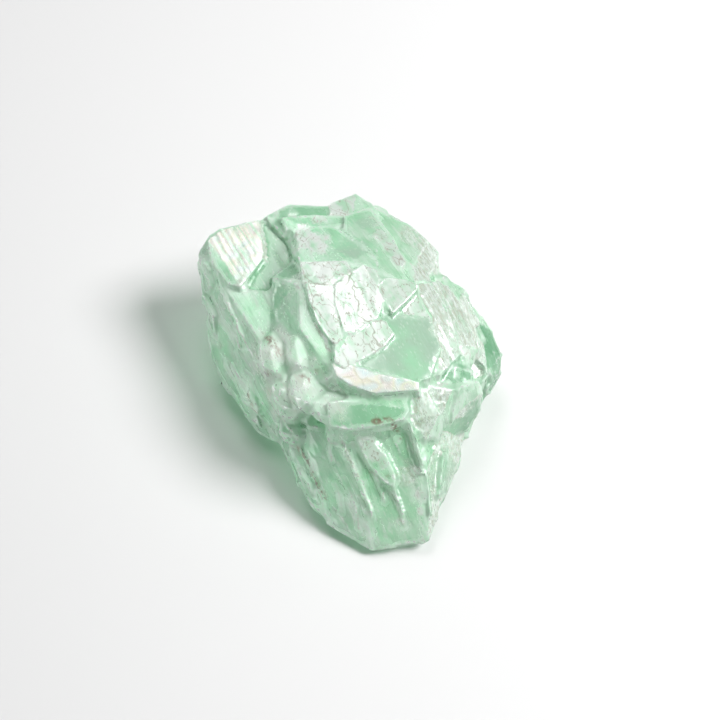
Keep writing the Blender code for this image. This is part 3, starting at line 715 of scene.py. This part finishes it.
class Mixer:
    """Short ways to put textures, masks and mixes into one shader tree."""

    def __init__(self, tree):
        self.tree = tree

    def mask(self, name):
        return add_node(self.tree, "ShaderNodeAttribute", attribute_name=name).outputs["Fac"]

    def band(self, value, low, high, strength=1.0):
        """0 at low and strength at high, clamped, also with low above high."""
        limits = {"Value": value, 1: low, 2: high, 3: 0.0, 4: strength}
        return add_node(self.tree, "ShaderNodeMapRange", limits).outputs[0]

    def line(self, value, level, width, strength=1.0):
        """Thin lines where a value crosses a level, like the height lines of a map."""
        away = math_node(self.tree, "ABSOLUTE", math_node(self.tree, "SUBTRACT", value, level))
        return self.band(away, width, width * 0.4, strength)

    def times(self, a, b):
        return math_node(self.tree, "MULTIPLY", a, b)

    def plus(self, a, b):
        return math_node(self.tree, "ADD", a, b)

    def most(self, first, *others):
        for other in others:
            first = math_node(self.tree, "MAXIMUM", first, other)
        return first

    def lay(self, colour, *layers):
        """Lays tones over a colour one after the other, each as strongly as its factor says."""
        for factor, tone in layers:
            colour = self.colour(factor, colour, tone)
        return colour

    def colour(self, factor, a, b):
        made = add_node(self.tree, "ShaderNodeMix", data_type="RGBA")
        return self.fill(made, (0, 6, 7), (factor, a, b)).outputs[2]

    def level(self, factor, a, b):
        made = add_node(self.tree, "ShaderNodeMix", data_type="FLOAT")
        return self.fill(made, (0, 2, 3), (factor, a, b)).outputs[0]

    def fill(self, made, keys, values):
        for key, value in zip(keys, values):
            if isinstance(value, bpy.types.NodeSocket):
                self.tree.links.new(value, made.inputs[key])
            elif isinstance(value, (int, float)):
                made.inputs[key].default_value = value
            else:
                made.inputs[key].default_value = (*value, 1)
        return made


class StoneParts:
    """The noises and masks that the stone's colour, roughness and coat are mixed from."""

    def __init__(self, m):
        place = add_node(m.tree, "ShaderNodeTexCoord").outputs["Object"]
        place = vector_node(m.tree, "SCALE", place, 1 / MM)
        self.grain = along_grain(m.tree, place)
        self.across = add_node(m.tree, "ShaderNodeSeparateXYZ", {0: place}).outputs["X"]
        for name, (scale, detail) in PLAIN_NOISES.items():
            setattr(self, name, noise_node(m.tree, place, scale, detail))
        for name, (scales, detail) in GRAIN_NOISES.items():
            stretched = vector_node(m.tree, "MULTIPLY", self.grain, scales)
            setattr(self, name, noise_node(m.tree, stretched, 1.0, detail))
        for name in (*FINISH_NAMES, *OTHER_MASKS, *HEIGHT_MASKS):
            setattr(self, name, m.mask(name))
        self.pearl = m.most(self.pearl, self.ribbed)
        self.dressed = m.band(m.plus(m.plus(self.satin, self.pearl), self.frost), 0.0, 1.0)


def clear_stone(m, at, colours):
    """Mint stone with mossy and pale clouds, streaks and wisps, and greyer in the right half."""
    return m.lay(
        m.colour(m.band(at.drift, 0.38, 0.62), colours.moss, colours.mint),
        (m.band(at.cloud, 0.48, 0.7, 0.5), colours.pale),
        (m.band(at.glow, 0.5, 0.66, 0.5), colours.pale),
        (m.band(at.glow, 0.5, 0.34, 0.5), colours.moss),
        (m.band(at.blotch, 0.52, 0.36, 0.3), colours.gloom),
        (m.band(at.streak, 0.5, 0.36, 0.35), colours.moss),
        (m.band(at.streak, 0.54, 0.68, 0.5), colours.pale),
        (m.band(at.wisp, 0.58, 0.66, 0.6), colours.pale),
        # Painted shade: greyer towards the right half, where the key light falls.
        (m.band(at.across, -2.0, 2.0, 0.25), colours.haze),
    )


def inner_parts(m, at, colours, colour):
    """Lays the clear windows, the dark facets (partly painted shade), the cloudy mounds and painted shade in
    the hollows over the colour.
    """
    # Painted shade: the dark facets get darker towards the right, where the key light falls.
    dark = m.colour(m.band(at.across, 4.5, 7.5), colours.gloom, colours.shade)
    return m.lay(
        colour,
        (at.window, colours.moss),
        (m.times(at.window, m.band(at.cloud, 0.15, 0.5)), colours.pane),
        (at.deep, dark),
        (m.times(at.milky, m.band(at.cloud, 0.3, 0.55)), colours.milk),
        (m.times(at.milky, m.band(at.streak, 0.52, 0.62, 0.6)), colours.dust),
        # Painted shade: the hollows are darkened.
        (m.band(at.hollow, 0.0, -0.9, 0.35), colours.gloom),
        (m.band(at.fibre, 0.46, 0.34, 0.15), colours.gloom),
    )


def cleavage_sheets(m, at, colours, colour):
    """Lays the frosted splinters with painted glints, the satin sheets, white partly of their own and partly
    as painted sheen, and the tinted, ribbed pearly ones over the colour.
    """
    veil = m.level(0.5, at.streak, at.blotch)
    # Painted light and shade: the sheets are whiter towards the left, where they face away from the key
    # light, and greyer towards the right, where it falls on them.
    sheet = m.colour(m.band(at.across, -1.2, 0.6), colours.pearly_white_sheen_and_glints, colours.sheet)
    return m.lay(
        colour,
        (m.times(at.frost, m.band(at.streak, 0.28, 0.50)), colours.frost),
        (m.times(at.frost, m.band(at.grit, 0.49, 0.41, 0.8)), colours.dust),
        # Painted glints: white flecks on the frosted flanks.
        (m.times(at.frost, m.band(at.grit, 0.52, 0.57, 0.9)), colours.pearly_white_sheen_and_glints),
        (m.times(at.satin, m.band(veil, 0.39, 0.53)), sheet),
        (m.times(at.pearl, m.band(at.streak, 0.36, 0.5)), pearl_tints(m.tree, at.grain)),
        (m.times(at.ribbed, m.line(at.rib, 0.47, 0.02, 0.5)), colours.seam),
        (m.times(at.ribbed, m.line(at.rib, 0.56, 0.05, 0.7)), colours.moss),
    )


def pearl_tints(tree, grain):
    """Faint tints that change slowly along the grain."""
    tints = add_node(tree, "ShaderNodeValToRGB", {0: noise_node(tree, grain, 0.9, 1.0)})
    ramp = tints.color_ramp
    while len(ramp.elements) < len(PEARL_TINTS):
        ramp.elements.new(0.5)
    for element, (position, tint) in zip(ramp.elements, PEARL_TINTS):
        element.position = position
        element.color = (*tint, 1)
    return tints.outputs[0]


def painted_edge_light_and_threads(m, at, colours, colour):
    """Lays pale ridges over the colour, painted light as if shining through the thin edges, and thin dark and
    pale threads along the grain of bare stone.
    """
    edge = m.times(m.band(at.ridge, 0.3, 0.06, 0.6), m.band(at.blotch, 0.36, 0.56))
    covered = m.plus(at.dressed, m.plus(at.window, at.deep))
    bare = m.level(m.band(covered, 0.2, 0.8), 1.0, 0.15)
    pale_thread = m.times(m.line(at.thread, 0.54, 0.014, 0.6), bare)
    return m.lay(
        colour,
        (m.times(edge, m.level(at.dressed, 1.0, 0.4)), colours.pale),
        (m.times(m.line(at.thread, 0.44, 0.016, 0.35), bare), colours.gloom),
        (m.times(pale_thread, m.band(at.cloud, 0.42, 0.55)), colours.pale),
    )


def glints(m, at):
    """Where white glints are painted: on proud nicks, on stretches of the ridges, and as scattered dots."""
    nicks = m.times(m.band(at.nick, 0.4, 0.95), m.band(at.speck, 0.5, 0.62))
    ridges = m.times(m.band(at.ridge, 0.12, 0.03), m.band(at.cloud, 0.42, 0.6))
    cells = vector_node(m.tree, "MULTIPLY", at.grain, (4.0, 11.0, 9.0))
    dots = add_node(m.tree, "ShaderNodeTexVoronoi", {"Vector": cells, "Scale": 1.0}).outputs
    sparkle = m.times(m.band(dots["Distance"], 0.55, 0.2), m.band(dots["Color"], 0.5, 0.75))
    sparkle = m.times(sparkle, m.band(at.blotch, 0.44, 0.56))
    share = m.level(at.frost, m.level(at.window, m.level(at.milky, 0.25, 0.6), 0.3), 1.0)
    return m.most(nicks, m.times(ridges, m.level(at.dressed, 0.1, 0.7)), m.times(sparkle, share))


def cracks(m, at):
    """Where thin cracks show: around large cells and on wavy lines; in creases and over closed gaps they are
    partly cracks and partly painted shade.
    """
    bend = vector_node(m.tree, "SCALE", noise_node(m.tree, at.grain, 1.3, 2.0, "Color"), 0.45)
    place = vector_node(m.tree, "ADD", vector_node(m.tree, "MULTIPLY", at.grain, (0.5, 0.9, 0.9)), bend)
    cells = add_node(
        m.tree, "ShaderNodeTexVoronoi", {"Vector": place, "Scale": 1.0}, feature="DISTANCE_TO_EDGE")
    around = m.times(m.band(cells.outputs["Distance"], 0.03, 0.01), m.band(at.drift, 0.42, 0.6))
    around = m.times(around, m.level(at.frost, m.level(at.satin, m.level(at.pearl, 0.0, 0.3), 0.7), 0.2))
    wavy = m.most(m.line(at.contour, 0.46, 0.010), m.line(at.contour, 0.56, 0.012))
    wavy = m.times(wavy, m.level(at.satin, m.level(at.frost, 0.12, 0.5), 0.75))
    wavy = m.times(wavy, m.band(at.speck, 0.38, 0.5))
    # Partly cracks and partly painted shade: dark seams in the creases and over the closed gaps.
    seams = m.times(m.band(at.crease, 0.08, 0.03), m.band(at.cloud, 0.35, 0.5))
    seams = m.most(seams, m.band(at.filled, 0.05, 0.12, 0.4))
    return m.most(around, wavy, m.times(seams, m.level(at.dressed, 0.12, 0.7)))


def by_part(m, at, value, levels):
    """A value that goes over to a level of its own on each part of the stone."""
    for name, level in levels.items():
        value = m.level(getattr(at, name), value, level)
    return value


def soft_bump(m, at):
    """The normals that lean upwards, with a fine fibrous bump."""
    fine = m.level(at.window, m.level(0.25, at.streak, at.fibre), 0.5)
    lit = add_node(m.tree, "ShaderNodeAttribute", attribute_name="soft_normal").outputs["Vector"]
    lit = add_node(
        m.tree, "ShaderNodeVectorTransform", {0: lit}, vector_type="NORMAL", convert_from="OBJECT",
        convert_to="WORLD").outputs[0]
    bump = {"Height": fine, "Strength": 0.3, "Distance": 0.00003, "Normal": lit}
    return add_node(m.tree, "ShaderNodeBump", bump).outputs[0]


def crystal_material(colours):
    """Clear stone whose colour, roughness and coat change from part to part, with light soaking through."""
    material = bpy.data.materials.new("mint_crystal")
    material.use_nodes = True
    tree = material.node_tree
    tree.nodes.clear()
    m = Mixer(tree)
    at = StoneParts(m)
    at.glint, at.crack = glints(m, at), cracks(m, at)
    colour = clear_stone(m, at, colours)
    for layers in (inner_parts, cleavage_sheets, painted_edge_light_and_threads):
        colour = layers(m, at, colours, colour)
    stained = m.times(at.stain, m.band(at.speck, 0.38, 0.52))
    # Painted highlights: the glints are laid in white.
    colour = m.lay(colour, (at.glint, colours.pearly_white_sheen_and_glints), (at.crack, colours.seam), (stained, colours.stain))
    rough = m.level(m.band(at.streak, 0.3, 0.7), 0.12, 0.30)
    rough = m.level(m.band(at.ridge, 0.3, 0.1), rough, 0.4)
    coat = m.level(m.band(at.streak, 0.45, 0.7), 0.0, 0.12)
    shader = add_node(tree, "ShaderNodeBsdfPrincipled", {
        "Base Color": colour, "Roughness": by_part(m, at, rough, ROUGHNESS), "Normal": soft_bump(m, at),
        "Metallic": 0.0, "IOR": colours.ior, "Transmission Weight": colours.transmission,
        "Coat Weight": by_part(m, at, coat, COAT), "Coat Roughness": 0.28, "Coat IOR": colours.pearl_ior,
    })
    soak = m.times(add_node(tree, "ShaderNodeLightPath").outputs["Is Shadow Ray"], colours.soak)
    clear = add_node(tree, "ShaderNodeBsdfTransparent", {0: (*colours.through, 1)})
    shader = add_node(tree, "ShaderNodeMixShader", {0: soak, 1: shader.outputs[0], 2: clear.outputs[0]})
    absorption = {"Color": (*colours.depth, 1), "Density": colours.density}
    depth = add_node(tree, "ShaderNodeVolumeAbsorption", absorption)
    add_node(tree, "ShaderNodeOutputMaterial", {"Surface": shader.outputs[0], "Volume": depth.outputs[0]})
    return material


class OBJECT_OT_crystal_stage(bpy.types.Operator):
    """Makes the pale floor, the soft lights and the camera"""

    bl_idname = "object.crystal_stage"
    bl_label = "Crystal Stage"

    def execute(self, context):
        stage = context.scene.crystal_stage
        bpy.ops.object.select_all(action="DESELECT")
        bpy.ops.mesh.primitive_plane_add(size=FLOOR_SIZE, location=(0, 0, 0))
        floor = context.object
        floor.name = floor.data.name = "floor"
        floor.data.materials.append(floor_material())
        self.world(context, stage)
        centre = Vector(stage.aim)
        for name, power in (
                ("key", stage.key_power), ("back", stage.back_power), ("flank", stage.flank_power)):
            self.softbox(name, centre, power)
        self.camera(context, stage, centre)
        context.scene.view_settings.view_transform = "Standard"
        return {"FINISHED"}

    def world(self, context, stage):
        """A dim white room with a bright low wall at the left, which lifts the dark side of the stone."""
        world = context.scene.world or bpy.data.worlds.new("white_room")
        context.scene.world = world
        world.use_nodes = True
        tree = world.node_tree
        background = tree.nodes["Background"]
        background.inputs["Color"].default_value = (1, 1, 1, 1)
        direction = add_node(tree, "ShaderNodeTexCoord").outputs["Generated"]
        apart = add_node(tree, "ShaderNodeSeparateXYZ", {0: direction}).outputs
        m = Mixer(tree)
        low, left = m.band(apart["Z"], 0.16, 0.04), m.band(apart["X"], 0.3, -0.3)
        strength = m.level(m.times(low, left), stage.ceiling, stage.walls)
        tree.links.new(strength, background.inputs["Strength"])

    def softbox(self, name, centre, power):
        direction, size = SOFT_BOXES[name]
        direction = Vector(direction)
        place = centre + direction.normalized() * LIGHT_DISTANCE
        bpy.ops.object.light_add(type="AREA", location=place)
        light = bpy.context.object
        light.name = light.data.name = name
        light.rotation_euler = direction.to_track_quat("Z", "Y").to_euler()
        light.data.shape = "DISK"
        light.data.size = size
        light.data.energy = power

    def camera(self, context, stage, centre):
        back = Vector((0, -math.cos(stage.elevation), math.sin(stage.elevation)))
        bpy.ops.object.camera_add(location=centre + back * stage.distance)
        camera = context.object
        camera.name = "camera"
        camera.rotation_euler = back.to_track_quat("Z", "Y").to_euler()
        camera.data.lens = stage.lens
        camera.data.sensor_width = 36
        camera.data.clip_start = 0.005
        context.scene.camera = camera


def floor_material():
    """White paper with a faint glow further out, so that it stays pale where the lights don't reach."""
    material = bpy.data.materials.new("white_paper")
    material.use_nodes = True
    tree = material.node_tree
    shader = tree.nodes["Principled BSDF"]
    shader.inputs["Base Color"].default_value = (FLOOR_GREY, FLOOR_GREY, FLOOR_GREY, 1)
    shader.inputs["Roughness"].default_value = 0.9
    shader.inputs["Emission Color"].default_value = (1, 1, 1, 1)
    place = add_node(tree, "ShaderNodeTexCoord").outputs["Object"]
    away = add_node(tree, "ShaderNodeVectorMath", {0: place}, operation="LENGTH").outputs["Value"]
    tree.links.new(Mixer(tree).band(away, *FLOOR_GLOW), shader.inputs["Emission Strength"])
    return material


class VIEW3D_PT_mint_crystal(bpy.types.Panel):
    """Lists the stone and its stage"""

    bl_label = "Rough Mint Crystal"
    bl_space_type = "VIEW_3D"
    bl_region_type = "UI"
    bl_category = "Crystal"

    def draw(self, context):
        for group in ("crystal_sizes", "crystal_colours", "crystal_stage"):
            settings = getattr(context.scene, group)
            for name in settings.__annotations__:
                self.layout.prop(settings, name)
        self.layout.operator("object.mint_crystal")
        self.layout.operator("object.crystal_stage")


CLASSES = (
    CrystalSizes, CrystalColours, StageSettings, OBJECT_OT_mint_crystal, OBJECT_OT_crystal_stage,
    VIEW3D_PT_mint_crystal,
)


def register():
    for cls in CLASSES:
        bpy.utils.register_class(cls)
    bpy.types.Scene.crystal_sizes = bpy.props.PointerProperty(type=CrystalSizes)
    bpy.types.Scene.crystal_colours = bpy.props.PointerProperty(type=CrystalColours)
    bpy.types.Scene.crystal_stage = bpy.props.PointerProperty(type=StageSettings)


def unregister():
    del bpy.types.Scene.crystal_stage
    del bpy.types.Scene.crystal_colours
    del bpy.types.Scene.crystal_sizes
    for cls in reversed(CLASSES):
        bpy.utils.unregister_class(cls)


def main():
    register()
    bpy.ops.object.mint_crystal()
    bpy.ops.object.crystal_stage()


if __name__ == "__main__":
    main()
